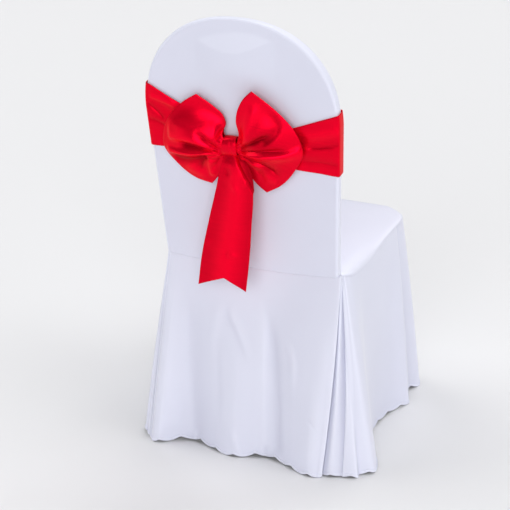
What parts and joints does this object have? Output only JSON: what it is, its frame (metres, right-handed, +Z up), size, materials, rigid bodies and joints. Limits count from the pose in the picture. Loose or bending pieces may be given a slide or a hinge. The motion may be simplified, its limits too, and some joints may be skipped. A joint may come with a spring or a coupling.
{
  "type": "chair cover with sash",
  "caption": "Fitted cover for a round-backed banquet chair: closed back, pleated skirt with scalloped hem, and a satin sash tied in a bow with a hanging tail.",
  "frame": {"origin": "on the floor under the middle of the cover's own bounds", "axes": "+Z up. The rear face of the back, with the bow, looks toward -Y and the seat reaches toward +Y. +X is the right side as seen from behind, the side with the open corner pleat."},
  "size_m": [0.5393, 0.5943, 0.9629],
  "materials": {
    "white_stretch_cloth": "smooth matt stretch polyester",
    "red_satin": "soft satin sheen"
  },
  "bodies": {
    "root": {"back_panel": "white_stretch_cloth", "back_edge_band": "white_stretch_cloth", "inside_back_panel": "white_stretch_cloth", "seat_panel": "white_stretch_cloth", "skirt_back": "white_stretch_cloth", "skirt_right": "white_stretch_cloth", "skirt_left": "white_stretch_cloth", "skirt_front": "white_stretch_cloth", "sash_band": "red_satin", "bow_loops": "red_satin", "bow_knot": "red_satin", "bow_tail": "red_satin"}
  },
  "joints": []
}
